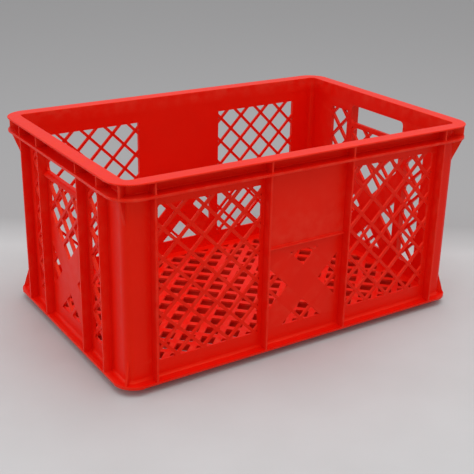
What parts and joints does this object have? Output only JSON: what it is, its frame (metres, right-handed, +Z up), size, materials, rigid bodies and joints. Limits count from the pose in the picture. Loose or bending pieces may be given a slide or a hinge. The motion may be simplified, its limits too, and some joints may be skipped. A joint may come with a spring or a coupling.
{
  "type": "bottle crate",
  "caption": "Open-topped plastic stacking crate with lattice walls and floor, a ribbed channel rim and a hand hole in each end, for carrying milk bottles.",
  "frame": {"origin": "middle of the foot ring's underside, the plane that the crate stands on", "axes": "+X along the long side, +Y along the short side, +Z up through the open top"},
  "size_m": [0.6, 0.4, 0.3],
  "materials": {
    "rim_plastic": "red high-density polyethylene, moulded, satin to glossy on the rim",
    "wall_plastic": "red high-density polyethylene, moulded, satin, with fine scuffs",
    "floor_plastic": "red high-density polyethylene, moulded, satin, scuffed by bottles"
  },
  "bodies": {
    "root": {"rim_long_front": "rim_plastic", "rim_long_rear": "rim_plastic", "rim_short_left": "rim_plastic", "rim_short_right": "rim_plastic", "rim_corner_front_left": "rim_plastic", "rim_corner_front_right": "rim_plastic", "rim_corner_rear_left": "rim_plastic", "rim_corner_rear_right": "rim_plastic", "corner_post_front_left": "wall_plastic", "corner_post_front_right": "wall_plastic", "corner_post_rear_left": "wall_plastic", "corner_post_rear_right": "wall_plastic", "side_head_front": "wall_plastic", "side_head_rear": "wall_plastic", "side_sill_front": "wall_plastic", "side_sill_rear": "wall_plastic", "side_lattice_front_left": "wall_plastic", "side_lattice_front_right": "wall_plastic", "side_lattice_rear_left": "wall_plastic", "side_lattice_rear_right": "wall_plastic", "label_plate_front": "wall_plastic", "label_plate_rear": "wall_plastic", "side_brace_front": "wall_plastic", "side_brace_rear": "wall_plastic", "end_head_left": "wall_plastic", "end_head_right": "wall_plastic", "end_sill_left": "wall_plastic", "end_sill_right": "wall_plastic", "end_lattice_left_front": "wall_plastic", "end_lattice_left_rear": "wall_plastic", "end_lattice_right_front": "wall_plastic", "end_lattice_right_rear": "wall_plastic", "grip_bar_left": "wall_plastic", "grip_bar_right": "wall_plastic", "grip_lattice_left": "wall_plastic", "grip_lattice_right": "wall_plastic", "end_brace_left": "wall_plastic", "end_brace_right": "wall_plastic", "side_fins_front": "wall_plastic", "side_fins_rear": "wall_plastic", "end_fins_left": "wall_plastic", "end_fins_right": "wall_plastic", "corner_webs_front_left": "wall_plastic", "corner_webs_front_right": "wall_plastic", "corner_webs_rear_left": "wall_plastic", "corner_webs_rear_right": "wall_plastic", "base_flange_front": "wall_plastic", "base_flange_rear": "wall_plastic", "base_flange_left": "wall_plastic", "base_flange_right": "wall_plastic", "base_corner_front_left": "wall_plastic", "base_corner_front_right": "wall_plastic", "base_corner_rear_left": "wall_plastic", "base_corner_rear_right": "wall_plastic", "floor_border_plate": "floor_plastic", "floor_lattice": "floor_plastic", "floor_ribs": "floor_plastic", "foot_ring": "floor_plastic"}
  },
  "joints": []
}
